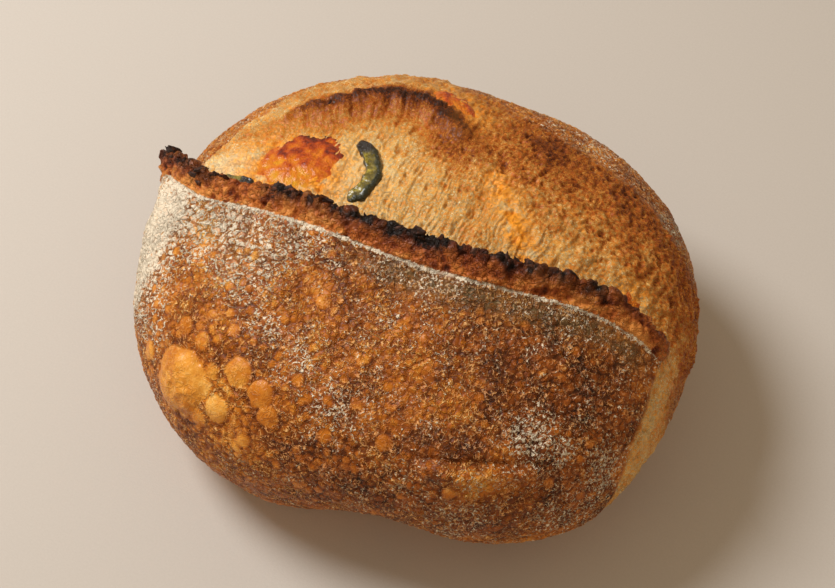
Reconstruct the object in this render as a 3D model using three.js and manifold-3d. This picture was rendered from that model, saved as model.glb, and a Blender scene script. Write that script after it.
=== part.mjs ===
// A round sourdough loaf, baked in one piece, with one lengthways cut that opened into a raised ear.
// Pieces of melted cheese and jalapeno lie in pockets of the torn crumb behind the ear.
//
// Millimetres, +Z up, the loaf rests on z = 0. +X runs along the ear, -Y is the floured front.
// The surface is written in two angles about the middle of the loaf's widest level:
//   lambda  -90 at the left end (-X) to 90 at the right end (+X)
//   phi     0 straight down, 90 to the front, 180 straight up, 270 to the back

import * as THREE from 'three';
import { mergeVertices } from 'three/addons/utils/BufferGeometryUtils.js';
import Module from 'manifold-3d';

const wasm = await Module();
wasm.setup();

// ---- driving dimensions -------------------------------------------------------------------------

const HALF_LENGTH = 103;
const HALF_WIDTH = 92;
const WAIST_HEIGHT = 42; // the widest level, above the table
const DOME_RISE = 53; // from the widest level to the top of the plain dome
const BELLY_DEPTH = 58; // how far the belly would hang below the widest level with no table
const PLAN_SQUARENESS = 2.35; // 2 is an ellipse, more is squarer
const SECTION_SQUARENESS = 2.3;
const BASE_ROUNDING = 5; // radius-like softness where the belly meets the table
const FRAME_SHIFT = { x: 2.03, y: -0.97 }; // puts the middle of the loaf's box on the origin

// Broad swellings and dents: azimuth from +X towards +Y, elevation above the widest level.
const SWELLINGS = [
  { name: 'front dent', azimuth: 283, elevation: -18, spread: 17, height: -11 },
  { name: 'front right foot', azimuth: 305, elevation: -22, spread: 22, height: -5 },
  { name: 'left end', azimuth: 188, elevation: 22, spread: 24, height: 3.5 },
  { name: 'front left shoulder', azimuth: 238, elevation: -12, spread: 26, height: 2 },
  { name: 'back of the dome', azimuth: 90, elevation: 40, spread: 60, height: 3 },
  { name: 'front fold', azimuth: 304, elevation: 17, spread: 8, height: 3 },
  { name: 'large blister', azimuth: 232, elevation: 10, spread: 7, height: 3.5 },
];

// The cut: phi along lambda, then how tall and how broad the ear is along it.
const CUT_LINE = [[-75, 180], [-67, 170], [-60, 165.3], [-45, 165.4], [0, 164], [20, 164.5], [34, 167],
  [45, 170.7], [55, 175], [64, 178.5], [73, 180]];
const EAR_HEIGHT = [[-79, 0], [-76, 1.15], [-69, 1.1], [-58, 0.65], [-45, 0.8], [-30, 1], [10, 1.1],
  [28, 1.4], [42, 1.2], [55, 1], [66, 0.75], [72, 0.45], [79, 0]];
const EAR_BREADTH = [[-75, 0.8], [-60, 0.5], [-45, 0.55], [-25, 0.9], [20, 1.1], [32, 0.8], [45, 0.6],
  [60, 0.45]];

// The ear's section at its fullest: distance along the skin from the cut, then where that point goes,
// across the cut (towards the back) and up from the dome. It ends in a lip that leans over the crumb.
const EAR_SECTION = [
  { skin: -45, across: -45, up: 0 },
  { skin: -20, across: -20, up: 2 },
  { skin: -10, across: -10, up: 3.6 },
  { skin: -4.5, across: -4.2, up: 5.2 },
  { skin: -2.5, across: -1.5, up: 6.8 },
  { skin: -1, across: 1.2, up: 8.3 },
  { skin: 1, across: 3.6, up: 9.2 },
  { skin: 2, across: 4.3, up: 8.3 },
  { skin: 3, across: 3.8, up: 6.3 },
  { skin: 4, across: 3, up: 3.8 },
  { skin: 5, across: 2.8, up: 1.2 },
  { skin: 6, across: 3.8, up: -0.8 },
  { skin: 8, across: 7.5, up: -1.8 },
  { skin: 12, across: 12, up: -1.2 },
  { skin: 22, across: 22, up: 0 },
];
const EAR_REACH = 45; // beyond this distance from the cut the ear's section has no effect
const EAR_FADE = 27; // from here on it fades out

// The torn crumb ends at the back in a low ridge, and at the right in the edge of the floured flap.
const RIDGE_LINE = [[-56, 212], [-49, 221], [-41, 228], [-30, 230], [-22, 234], [-15, 230], [-3, 225]];
const RIDGE_HEIGHT = [[-60, 0], [-50, 3], [-40, 4.2], [-20, 4.2], [-8, 3], [4, 0]];
const RIDGE_FACE = 7; // length of the slope that faces the ear
const RIDGE_BACK = 26; // length of the slope that runs out to the back
const FLAP_EDGE_LINE = [[60, 58], [81, 63], [114, 68], [141, 72], [180, 73]]; // phi, lambda
const FLAP_EDGE_STEP = 1.8;
const FLAP_EDGE_WIDTH = 2.5; // degrees of lambda over which the step falls
const FLAP_EDGE_LEAD = 40; // degrees of lambda over which the flap rises towards its edge
const FLAP_EDGE_FOOT = [58, 80]; // degrees of phi over which the step starts, above the table

const FIT_GAP = 0.3; // between a filling and the wall of its pocket
const PEPPER_TIP = 0.2; // how thick a pepper piece still is at its tips, against its middle

const LENGTH_STEPS = 78; // facets from end to end
const SIDE_STEPS = 26; // facets from the cut to the base line, on each side
const STEP_GROWTH = 2.4; // how much the facets widen away from the cut
const PATCH_SIDES = 20;
const PATCH_ROWS = 4;
const PEPPER_SIDES = 12;
const PEPPER_STEPS = 14;

// Fillings that lie in the crumb: place in lambda and phi, size in mm along and across the ear.
const CHEESE_PIECES = [
  { name: 'cheese_patch', lambda: -48.5, phi: 188.5, outline: [18, 15, 12, 11, 13, 10.5, 10, 11], turn: 48,
    proud: 1.6, depth: 3 },
  { name: 'cheese_back', lambda: -8, phi: 229, outline: [11, 7, 4.5, 6, 11, 7, 4.5, 6], turn: -18,
    proud: 1.2, depth: 2.5 },
  { name: 'cheese_bit', lambda: 63, phi: 193, outline: [5, 4, 3, 4], turn: 20, proud: 1, depth: 2 },
];
const JALAPENO_PIECES = [
  { name: 'jalapeno_slice', lambda: -34, phi: 190, radius: 13.4, from: -52, to: 76, width: 5.6,
    thickness: 4.6, sink: 1.2 },
  { name: 'jalapeno_sliver', lambda: -56.5, phi: 191.5, radius: 14, from: -116, to: -68, width: 4,
    thickness: 4, sink: 0.3 },
];

// ---- small tools --------------------------------------------------------------------------------

const radians = (degrees) => degrees * Math.PI / 180;

const clamp01 = (value) => Math.min(1, Math.max(0, value));

// 0 below low, 1 above high, smooth between.
function smoothstep(low, high, value) {
  const u = clamp01((value - low) / (high - low));
  return u * u * (3 - 2 * u);
}

// Smooth curve through [position, value] knots, level beyond the first and the last.
function curveThrough(knots, position) {
  const last = knots.length - 1;
  if (position <= knots[0][0]) return knots[0][1];
  if (position >= knots[last][0]) return knots[last][1];
  let i = 0;
  while (position > knots[i + 1][0]) i += 1;
  const slopeAt = (k) => {
    if (k === 0 || k === last) return 0;
    return (knots[k + 1][1] - knots[k - 1][1]) / (knots[k + 1][0] - knots[k - 1][0]);
  };
  const width = knots[i + 1][0] - knots[i][0];
  const u = (position - knots[i][0]) / width;
  const rise = u * u * (3 - 2 * u);
  return knots[i][1] * (1 - rise) + knots[i + 1][1] * rise
    + slopeAt(i) * width * u * (1 - u) * (1 - u)
    - slopeAt(i + 1) * width * u * u * (1 - u);
}

// ---- the form of the loaf -----------------------------------------------------------------------

function directionOf(lambda, phi) {
  const l = radians(lambda);
  const p = radians(phi);
  return new THREE.Vector3(Math.sin(l), -Math.cos(l) * Math.sin(p), -Math.cos(l) * Math.cos(p));
}

// Distance from the middle of the widest level to the plain skin, with the swellings.
function formRadius(direction) {
  const plan = (Math.abs(direction.x) / HALF_LENGTH) ** PLAN_SQUARENESS
    + (Math.abs(direction.y) / HALF_WIDTH) ** PLAN_SQUARENESS;
  const rise = Math.abs(direction.z) / (direction.z > 0 ? DOME_RISE : BELLY_DEPTH);
  const sum = plan ** (SECTION_SQUARENESS / PLAN_SQUARENESS) + rise ** SECTION_SQUARENESS;
  let radius = sum ** (-1 / SECTION_SQUARENESS);
  for (const swelling of SWELLINGS) {
    const azimuth = radians(swelling.azimuth);
    const elevation = radians(swelling.elevation);
    const middle = new THREE.Vector3(
      Math.cos(azimuth) * Math.cos(elevation),
      Math.sin(azimuth) * Math.cos(elevation),
      Math.sin(elevation),
    );
    const angle = direction.angleTo(middle) / radians(swelling.spread);
    radius += swelling.height * Math.exp(-angle * angle);
  }
  return radius;
}

// The table flattens everything that would hang below it.
function settle(height) {
  const h = clamp01(0.5 + 0.5 * height / BASE_ROUNDING);
  return height * h + BASE_ROUNDING * h * (1 - h);
}

// The plain skin, before the cut opened.
function skinPoint(lambda, phi) {
  const direction = directionOf(lambda, phi);
  const point = direction.multiplyScalar(formRadius(direction));
  point.z = settle(point.z + WAIST_HEIGHT);
  return point;
}

// Directions at a point of the plain skin: along to the right, across to the back, up outwards.
function skinFrame(lambda, phi) {
  const near = 0.5; // degrees
  const along = skinPoint(lambda + near, phi).sub(skinPoint(lambda - near, phi)).normalize();
  const across = skinPoint(lambda, phi + near).sub(skinPoint(lambda, phi - near)).normalize();
  const up = new THREE.Vector3().crossVectors(along, across).normalize();
  return { along, across: new THREE.Vector3().crossVectors(up, along), up };
}

// Low relief that rises straight out of the skin: the ridge at the back and the flap's right edge.
function reliefHeight(lambda, phi, girth) {
  const behindRidge = radians(phi - curveThrough(RIDGE_LINE, lambda)) * girth;
  const ridge = behindRidge < 0
    ? smoothstep(-RIDGE_FACE, 0, behindRidge)
    : 1 - smoothstep(0, RIDGE_BACK, behindRidge);
  const flapEdge = curveThrough(FLAP_EDGE_LINE, phi);
  const onFlap = phi < 180 ? 1 - smoothstep(flapEdge, flapEdge + FLAP_EDGE_WIDTH, lambda) : 0;
  const rise = smoothstep(...FLAP_EDGE_FOOT, phi) * smoothstep(flapEdge - FLAP_EDGE_LEAD, flapEdge, lambda);
  return curveThrough(RIDGE_HEIGHT, lambda) * ridge + FLAP_EDGE_STEP * onFlap * rise;
}

const EAR_ACROSS = EAR_SECTION.map(({ skin, across }) => [skin, across - skin]);
const EAR_UP = EAR_SECTION.map(({ skin, up }) => [skin, up]);

// The finished skin, with the ear, the ridge and the flap's edge.
function loafPoint(lambda, phi) {
  const point = skinPoint(lambda, phi);
  const cut = curveThrough(CUT_LINE, lambda);
  const girth = skinPoint(lambda, cut).setX(0).sub(new THREE.Vector3(0, 0, WAIST_HEIGHT)).length();
  point.addScaledVector(directionOf(lambda, phi), reliefHeight(lambda, phi, girth));
  const skin = radians(phi - cut) * girth;
  if (Math.abs(skin) > EAR_REACH) return point;
  const fade = 1 - smoothstep(EAR_FADE, EAR_REACH, Math.abs(skin));
  const height = curveThrough(EAR_HEIGHT, lambda) * fade;
  const breadth = skin < 0 ? curveThrough(EAR_BREADTH, lambda) : 1;
  const frame = skinFrame(lambda, cut);
  point.addScaledVector(frame.across, curveThrough(EAR_ACROSS, skin) * Math.min(1, height) * breadth);
  point.addScaledVector(frame.up, curveThrough(EAR_UP, skin) * height);
  return point;
}

// ---- meshes -------------------------------------------------------------------------------------

// A closed skin from a list of rings of equal length, with a point at each end.
function ringsToGeometry(first, rings, last) {
  const size = rings[0].length;
  const positions = [first, ...rings.flat(), last].flatMap((point) => point.toArray());
  const lastIndex = 1 + rings.length * size;
  const at = (ring, i) => 1 + ring * size + (i % size);
  const triangles = [];
  for (let i = 0; i < size; i += 1) {
    triangles.push(0, at(0, i + 1), at(0, i));
    triangles.push(lastIndex, at(rings.length - 1, i), at(rings.length - 1, i + 1));
    for (let ring = 0; ring < rings.length - 1; ring += 1) {
      triangles.push(at(ring, i), at(ring, i + 1), at(ring + 1, i + 1));
      triangles.push(at(ring, i), at(ring + 1, i + 1), at(ring + 1, i));
    }
  }
  const geometry = new THREE.BufferGeometry();
  geometry.setAttribute('position', new THREE.Float32BufferAttribute(positions, 3));
  geometry.setIndex(triangles);
  return geometry;
}

function toSolid(geometry) {
  const bare = geometry.clone();
  bare.deleteAttribute('normal');
  bare.deleteAttribute('uv');
  const merged = mergeVertices(bare);
  return new wasm.Manifold(new wasm.Mesh({
    numProp: 3,
    vertProperties: new Float32Array(merged.attributes.position.array),
    triVerts: new Uint32Array(merged.index.array),
  }));
}

function toGeometry(solid) {
  const mesh = solid.getMesh();
  const geometry = new THREE.BufferGeometry();
  geometry.setAttribute('position', new THREE.BufferAttribute(mesh.vertProperties, 3));
  geometry.setIndex(new THREE.BufferAttribute(mesh.triVerts, 1));
  geometry.computeVertexNormals();
  return geometry;
}

// Rings of phi around the loaf, closest together beside the cut.
function loafGeometry() {
  const stretch = (u) => Math.sinh(STEP_GROWTH * u) / Math.sinh(STEP_GROWTH);
  const ringAt = (lambda) => {
    const cut = curveThrough(CUT_LINE, lambda);
    const ring = [];
    for (let i = SIDE_STEPS; i > 0; i -= 1) ring.push(cut - cut * stretch(i / SIDE_STEPS));
    for (let i = 0; i < SIDE_STEPS; i += 1) ring.push(cut + (360 - cut) * stretch(i / SIDE_STEPS));
    return ring.map((phi) => loafPoint(lambda, phi));
  };
  const rings = [];
  for (let i = 1; i < LENGTH_STEPS; i += 1) rings.push(ringAt(90 - 180 * i / LENGTH_STEPS));
  return ringsToGeometry(loafPoint(90, 180), rings, loafPoint(-90, 180));
}

// Moves from a place on the loaf by millimetres along and across the ear.
function placeNear(lambda, phi, along, across) {
  const reach = skinPoint(lambda, phi).sub(new THREE.Vector3(0, 0, WAIST_HEIGHT));
  const girth = Math.hypot(reach.y, reach.z);
  const nextLambda = lambda + THREE.MathUtils.radToDeg(along / reach.length());
  return [nextLambda, phi + THREE.MathUtils.radToDeg(across / girth)];
}

// A melted patch: a lens with a rounded outline that follows the loaf, sunk into it.
// Growth swells it on every side, for cutting its pocket.
function patchGeometry(patch, growth) {
  const spokes = patch.outline.length;
  const reachAt = (turn) => {
    const spoke = turn * spokes;
    const low = Math.floor(spoke) % spokes;
    const mix = smoothstep(0, 1, spoke - Math.floor(spoke));
    return patch.outline[low] * (1 - mix) + patch.outline[(low + 1) % spokes] * mix;
  };
  const pointAt = (ring, turn, height) => {
    const angle = 2 * Math.PI * turn + radians(patch.turn);
    const reach = (reachAt(turn) + growth) * ring;
    const place = placeNear(patch.lambda, patch.phi, reach * Math.cos(angle), reach * Math.sin(angle));
    return loafPoint(...place).addScaledVector(directionOf(...place), height);
  };
  const ringAt = (ring, height) => {
    const points = [];
    for (let i = 0; i < PATCH_SIDES; i += 1) points.push(pointAt(ring, i / PATCH_SIDES, height));
    return points;
  };
  const below = (ring) => -(patch.depth + growth) * Math.sqrt(1 - ring ** 4);
  const above = (ring) => (patch.proud + growth) * Math.sqrt(1 - ring ** 2);
  const rings = [ringAt(1, 0)];
  for (let i = PATCH_ROWS - 1; i > 0; i -= 1) {
    const ring = i / PATCH_ROWS;
    rings.unshift(ringAt(ring, below(ring)));
    rings.push(ringAt(ring, above(ring)));
  }
  return ringsToGeometry(pointAt(0, 0, below(0)), rings, pointAt(0, 0, above(0)));
}

// A curved piece of a pepper ring: an arc of oval section that lies on the loaf, half sunk.
function pepperGeometry(pepper, growth) {
  const spare = growth / pepper.radius;
  const start = radians(pepper.from) - spare;
  const end = radians(pepper.to) + spare;
  const ringAt = (u) => {
    const angle = start + (end - start) * u;
    const taper = PEPPER_TIP + (1 - PEPPER_TIP) * Math.sqrt(1 - (2 * u - 1) ** 6);
    const points = [];
    for (let i = 0; i < PEPPER_SIDES; i += 1) {
      const turn = -2 * Math.PI * i / PEPPER_SIDES;
      const reach = pepper.radius + (pepper.width / 2 * taper + growth) * Math.cos(turn);
      const height = (pepper.thickness / 2 * taper + growth) * Math.sin(turn)
        + pepper.thickness / 2 - pepper.sink;
      const place = placeNear(pepper.lambda, pepper.phi, reach * Math.cos(angle), reach * Math.sin(angle));
      points.push(loafPoint(...place).addScaledVector(directionOf(...place), height));
    }
    return points;
  };
  const middleOf = (ring) => {
    const sum = new THREE.Vector3();
    for (const point of ring) sum.add(point);
    return sum.divideScalar(ring.length);
  };
  const rings = [];
  for (let i = 0; i <= PEPPER_STEPS; i += 1) rings.push(ringAt(i / PEPPER_STEPS));
  return ringsToGeometry(middleOf(rings[0]), rings, middleOf(rings.at(-1)));
}

// ---- the parts ----------------------------------------------------------------------------------

const group = new THREE.Group();
group.position.set(FRAME_SHIFT.x, FRAME_SHIFT.y, 0);

function addPart(name, geometry, color, roughness) {
  const material = new THREE.MeshStandardMaterial({ color, roughness, metalness: 0 });
  const mesh = new THREE.Mesh(geometry, material);
  mesh.name = name;
  group.add(mesh);
}

let loaf = toSolid(loafGeometry());

for (const patch of CHEESE_PIECES) {
  loaf = loaf.subtract(toSolid(patchGeometry(patch, FIT_GAP)));
  addPart(patch.name, patchGeometry(patch, 0), '#cf5f1e', 0.35);
}

for (const pepper of JALAPENO_PIECES) {
  loaf = loaf.subtract(toSolid(pepperGeometry(pepper, FIT_GAP)));
  addPart(pepper.name, pepperGeometry(pepper, 0), '#55591c', 0.3);
}

addPart('loaf', toGeometry(loaf), '#a8642a', 0.8);

export default group;
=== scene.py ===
"""Looks of a round sourdough loaf: a floured flap with a raised ear, torn crumb, cheese and jalapeno.

The loaf is a fine grid over the same form as the CAD part, with relief from seeded noise. The grid also
carries how baked, floured, torn and burnt each spot is, with painted shade in its gaps and hollows and
painted light on its raised parts, and the crust's material paints from those.
Places on the loaf are two angles in degrees: lambda runs from the left end (-90) to the right end (90),
and phi runs round from the bottom (0) by the front (90) and the top (180) to the back (270).
The form's sizes are in millimetres and the objects in metres.
"""

import math

import bmesh
import bpy
import numpy as np
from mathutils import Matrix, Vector


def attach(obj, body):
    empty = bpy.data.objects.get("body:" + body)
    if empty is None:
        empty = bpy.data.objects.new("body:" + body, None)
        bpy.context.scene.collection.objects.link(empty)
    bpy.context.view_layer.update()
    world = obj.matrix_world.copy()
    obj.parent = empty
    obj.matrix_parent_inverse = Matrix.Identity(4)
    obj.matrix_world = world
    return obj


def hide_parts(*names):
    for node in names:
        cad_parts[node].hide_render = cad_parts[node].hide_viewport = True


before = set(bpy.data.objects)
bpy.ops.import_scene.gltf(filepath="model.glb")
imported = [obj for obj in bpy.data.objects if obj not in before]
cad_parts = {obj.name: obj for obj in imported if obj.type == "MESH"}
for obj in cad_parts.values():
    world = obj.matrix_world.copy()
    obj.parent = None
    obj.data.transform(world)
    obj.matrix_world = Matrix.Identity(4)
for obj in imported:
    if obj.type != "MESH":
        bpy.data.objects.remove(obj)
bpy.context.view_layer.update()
MM = 0.001

# ---- the form, as in the CAD part but for a back ridge a little higher and further forward ----------

HALF_LENGTH = 103.0
HALF_WIDTH = 92.0
WAIST_HEIGHT = 42.0
DOME_RISE = 53.0
BELLY_DEPTH = 58.0
PLAN_SQUARENESS = 2.35
SECTION_SQUARENESS = 2.3
BASE_ROUNDING = 5.0
FRAME_SHIFT = np.array([2.03, -0.97, 0.0])

# azimuth, elevation, spread in degrees, then height in mm
SWELLINGS = {
    "front dent": (283, -18, 17, -11),
    "front right foot": (305, -22, 22, -5),
    "left end": (188, 22, 24, 3.5),
    "front left shoulder": (238, -12, 26, 2),
    "back of the dome": (90, 40, 60, 3),
    "front fold": (304, 17, 8, 3),
}
# lambda, then phi, or a height in mm, or a share
CUT_LINE = [(-75, 180), (-67, 170), (-60, 165.3), (-45, 165.4), (0, 164), (20, 164.5), (34, 167),
            (45, 170.7), (55, 175), (64, 178.5), (73, 180)]
EAR_HEIGHT = [(-79, 0), (-76, 1.15), (-69, 1.1), (-58, 0.65), (-45, 0.8), (-30, 1), (10, 1.1), (28, 1.4),
              (42, 1.2), (55, 1), (66, 0.75), (72, 0.45), (79, 0)]
EAR_BREADTH = [(-75, 0.8), (-60, 0.5), (-45, 0.55), (-25, 0.9), (20, 1.1), (32, 0.8), (45, 0.6),
               (60, 0.45)]
# along the skin, across the cut, up
EAR_SECTION = [(-45, -45, 0), (-20, -20, 2), (-10, -10, 3.6), (-4.5, -4.2, 5.2), (-2.5, -1.5, 6.8),
               (-1, 1.2, 8.3), (1, 3.6, 9.2), (2, 4.3, 8.3), (3, 3.8, 6.3), (4, 3, 3.8), (5, 2.8, 1.2),
               (6, 3.8, -0.8), (8, 7.5, -1.8), (12, 12, -1.2), (22, 22, 0)]
EAR_REACH = 45.0
EAR_FADE = 27.0
RIDGE_LINE = [(-53, 209), (-48, 215), (-36, 221), (-28, 225), (-21, 227), (-15, 226.5), (-6, 223),
              (0, 221)]
RIDGE_HEIGHT = [(-60, 0), (-50, 3.6), (-40, 5.2), (-20, 5.2), (-8, 4.2), (-2, 2.4), (5, 0)]
RIDGE_FACE = 6.0
RIDGE_BACK = 26.0
RIDGE_TOP = max(height for _, height in RIDGE_HEIGHT)
FLAP_EDGE_LINE = [(60, 58), (81, 63), (114, 68), (141, 72), (180, 73)]  # phi, lambda
FLAP_EDGE_STEP = 1.8
FLAP_EDGE_WIDTH = 2.5

# ---- seeded noise -----------------------------------------------------------------------------------

random = np.random.default_rng(20)
SHUFFLE = random.permutation(256)
SLOPES = random.normal(size=(256, 3))
SLOPES = (SLOPES / np.linalg.norm(SLOPES, axis=1)[:, None]).astype(np.float32)
SCATTER = random.random((256, 3)).astype(np.float32)
PICKS = random.random(256).astype(np.float32)


def lattice(cell, offset, seed):
    """A repeatable number from 0 to 255 for each lattice cell."""
    x = (cell[:, 0] + offset[0] + 37 * seed) & 255
    y = cell[:, 1] + offset[1]
    z = cell[:, 2] + offset[2]
    return SHUFFLE[(SHUFFLE[(SHUFFLE[x] + y) & 255] + z) & 255]


def gradient_noise(points, seed):
    """Smooth noise, about -1 to 1, with features one unit across."""
    cell = np.floor(points).astype(np.int64)
    part = (points - cell).astype(np.float32)
    ease = part * part * part * (part * (part * 6 - 15) + 10)
    total = np.zeros(len(points), np.float32)
    for corner in np.ndindex(2, 2, 2):
        slope = SLOPES[lattice(cell, corner, seed)]
        weight = np.ones(len(points), np.float32)
        dot = np.zeros(len(points), np.float32)
        for axis in range(3):
            weight *= ease[:, axis] if corner[axis] else 1 - ease[:, axis]
            dot += slope[:, axis] * (part[:, axis] - corner[axis])
        total += weight * dot
    return total * 1.7


def noise(points, size, octaves=3, seed=0, ridged=False):
    """Noise in layers, each half as large and half as strong as the one before, about -1 to 1."""
    total = 0.0
    strength = 0.0
    for octave in range(octaves):
        layer = gradient_noise(points * (2 ** octave / size), seed + 11 * octave)
        if ridged:
            layer = 1 - 2 * np.abs(layer)
        total = total + layer * 0.5 ** octave
        strength += 0.5 ** octave
    return total / strength


def cells(points, size, seed=0):
    """Distances to the nearest and next nearest of scattered seeds, in sizes, and the nearest's pick."""
    scaled = (points / size).astype(np.float32)
    cell = np.floor(scaled).astype(np.int64)
    nearest = np.full(len(points), 9, np.float32)
    second = nearest.copy()
    pick = np.zeros(len(points), np.float32)
    for offset in np.ndindex(3, 3, 3):
        shift = np.array(offset) - 1
        index = lattice(cell, shift, seed)
        away = scaled - (cell + shift) - SCATTER[index]
        distance = np.sqrt((away * away).sum(1))
        closer = distance < nearest
        second = np.where(closer, nearest, np.minimum(second, distance))
        pick = np.where(closer, PICKS[index], pick)
        nearest = np.where(closer, distance, nearest)
    return nearest, second, pick


def smoothstep(low, high, value):
    """0 below low and 1 above high, or the other way round where low is the larger."""
    u = np.clip((value - low) / (high - low), 0, 1)
    return u * u * (3 - 2 * u)


def curve_through(knots, position):
    """Smooth curve through (position, value) knots, level beyond the first and the last."""
    x, y = np.array(knots, float).T
    slope = np.zeros_like(y)
    slope[1:-1] = (y[2:] - y[:-2]) / (x[2:] - x[:-2])
    i = np.clip(np.searchsorted(x, position, side="right") - 1, 0, len(x) - 2)
    width = x[i + 1] - x[i]
    u = np.clip((position - x[i]) / width, 0, 1)
    rise = u * u * (3 - 2 * u)
    bend = slope[i] * (1 - u) - slope[i + 1] * u
    return y[i] * (1 - rise) + y[i + 1] * rise + bend * width * u * (1 - u)


# ---- the plain skin ---------------------------------------------------------------------------------

def direction_of(lam, phi):
    """Unit vector from the loaf's middle towards lambda and phi."""
    l, p = np.radians(lam), np.radians(phi)
    return np.stack([np.sin(l) + 0 * p, -np.cos(l) * np.sin(p), -np.cos(l) * np.cos(p)], -1)


def form_radius(direction):
    """Distance of the skin from the loaf's middle."""
    x, y, z = np.moveaxis(direction, -1, 0)
    plan = (np.abs(x) / HALF_LENGTH) ** PLAN_SQUARENESS + (np.abs(y) / HALF_WIDTH) ** PLAN_SQUARENESS
    rise = np.abs(z) / np.where(z > 0, DOME_RISE, BELLY_DEPTH)
    total = plan ** (SECTION_SQUARENESS / PLAN_SQUARENESS) + rise ** SECTION_SQUARENESS
    radius = total ** (-1 / SECTION_SQUARENESS)
    for azimuth, elevation, spread, height in SWELLINGS.values():
        a, e = math.radians(azimuth), math.radians(elevation)
        middle = np.array([math.cos(a) * math.cos(e), math.sin(a) * math.cos(e), math.sin(e)])
        angle = np.degrees(np.arccos(np.clip(direction @ middle, -1, 1)))
        radius = radius + height * np.exp(-(angle / spread) ** 2)
    return radius


def settle(height):
    """Flattens the bottom on the table, with a rounded edge."""
    h = np.clip(0.5 + 0.5 * height / BASE_ROUNDING, 0, 1)
    return height * h + BASE_ROUNDING * h * (1 - h)


def skin_point(lam, phi):
    """Points of the plain skin, without the cut, the ear or the ridge."""
    direction = direction_of(lam, phi)
    point = direction * form_radius(direction)[..., None]
    point[..., 2] = settle(point[..., 2] + WAIST_HEIGHT)
    return point


def spot_point(lam, phi):
    """The point of the skin at one lambda and phi."""
    return skin_point(np.array(float(lam)), np.array(float(phi)))


def unit(vectors):
    """The same vectors, one unit long."""
    return vectors / np.maximum(np.linalg.norm(vectors, axis=-1, keepdims=True), 1e-9)


def skin_frame(lam, phi):
    """Unit vectors along the ear, across it to the back, and out of the skin."""
    step = 0.5
    along = unit(skin_point(lam + step, phi) - skin_point(lam - step, phi))
    across = unit(skin_point(lam, phi + step) - skin_point(lam, phi - step))
    up = unit(np.cross(along, across))
    return along, np.cross(up, along), up


def girth_at(lam):
    """Distance of the cut from the loaf's long axis."""
    point = skin_point(lam, curve_through(CUT_LINE, lam)) - [0, 0, WAIST_HEIGHT]
    return np.hypot(point[..., 1], point[..., 2])


class Form:
    """The loaf before its fine relief, at arrays of lambda and phi, with what the relief is laid out by."""

    def __init__(self, lam, phi, ragged=True):
        self.lam, self.phi = lam, phi
        self.skin = skin_point(lam, phi)
        self.cut = curve_through(CUT_LINE, lam)
        self.girth = girth_at(lam)
        self.behind = np.radians(phi - self.cut) * self.girth  # mm behind the cut, along the skin
        self.flap_edge = curve_through(FLAP_EDGE_LINE, phi)
        self.behind_ridge = np.radians(phi - curve_through(RIDGE_LINE, lam)) * self.girth
        self.ear = curve_through(EAR_HEIGHT, lam)
        self.point = self.skin + direction_of(lam, phi) * self.ridge_and_edge()[..., None]
        self.raise_ear(ragged)

    def layer(self, size, octaves, seed, ridged=False):
        """Noise laid on the plain skin."""
        return noise(self.skin.reshape(-1, 3), size, octaves, seed, ridged).reshape(self.lam.shape)

    def raised_layer(self, size, octaves, seed, ridged=False):
        """Noise laid on the raised form, so that the ear doesn't stretch it."""
        return noise(self.point.reshape(-1, 3), size, octaves, seed, ridged).reshape(self.lam.shape)

    def ridge_and_edge(self):
        """Height of the back ridge and of the flap's right edge."""
        before = smoothstep(-RIDGE_FACE, 0, self.behind_ridge)
        after = 1 - smoothstep(0, RIDGE_BACK, self.behind_ridge)
        ridge = curve_through(RIDGE_HEIGHT, self.lam) * np.where(self.behind_ridge < 0, before, after)
        edge = self.flap_edge
        on_flap = np.where(self.phi < 180, 1 - smoothstep(edge, edge + FLAP_EDGE_WIDTH, self.lam), 0)
        rise = smoothstep(58, 80, self.phi) * smoothstep(edge - 40, edge, self.lam)
        return ridge + FLAP_EDGE_STEP * on_flap * rise

    def raise_ear(self, ragged):
        """Moves the points near the cut into the ear's section, with a ragged crest if asked."""
        section = np.array(EAR_SECTION, float)
        skin, across, up = section.T
        shift_across = curve_through(np.stack([skin, across - skin], 1), self.behind)
        shift_up = curve_through(np.stack([skin, up], 1), self.behind)
        fade = 1 - smoothstep(EAR_FADE, EAR_REACH, np.abs(self.behind))
        height = self.ear * fade
        breadth = np.where(self.behind < 0, curve_through(EAR_BREADTH, self.lam), 1)
        if ragged:
            wave = noise(self.skin.reshape(-1, 3) * [1, 0, 0], 12, 3, 3).reshape(self.lam.shape)
            nick = self.layer(4.5, 3, 5)
            near_crest = np.exp(-((self.behind - 0.5) / 3.5) ** 2)
            height = height * (1 + near_crest * (0.3 * wave + 0.3 * nick))
            shift_across = shift_across + near_crest * (1.8 * wave + 1.6 * nick)
        _, sideways, outward = skin_frame(self.lam, self.cut)
        self.point += sideways * (shift_across * np.minimum(1, height) * breadth)[..., None]
        self.point += outward * (shift_up * height)[..., None]


# ---- the fine grid ----------------------------------------------------------------------------------

LENGTH_RINGS = 600
SIDE_ROWS = 420
ROW_GROWTH = 1.5  # how much the rows widen away from the cut


def grid_angles():
    """lambda and phi of the grid's points, ring by ring, with a row of points right along the cut."""
    stretch = np.sinh(ROW_GROWTH * np.arange(SIDE_ROWS + 1) / SIDE_ROWS) / math.sinh(ROW_GROWTH)
    lam = -90 + 180 * np.arange(1, LENGTH_RINGS) / LENGTH_RINGS
    cut = curve_through(CUT_LINE, lam)[:, None]
    front = cut * (1 - stretch[:0:-1])
    back = cut + (360 - cut) * stretch[:-1]
    phi = np.concatenate([front, back], 1)
    return np.broadcast_to(lam[:, None], phi.shape), phi


def grid_normals(points):
    """Normals of a grid of rings that close on themselves."""
    along = np.gradient(points, axis=0)
    around = np.roll(points, -1, 1) - np.roll(points, 1, 1)
    return unit(np.cross(along, around))
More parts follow.
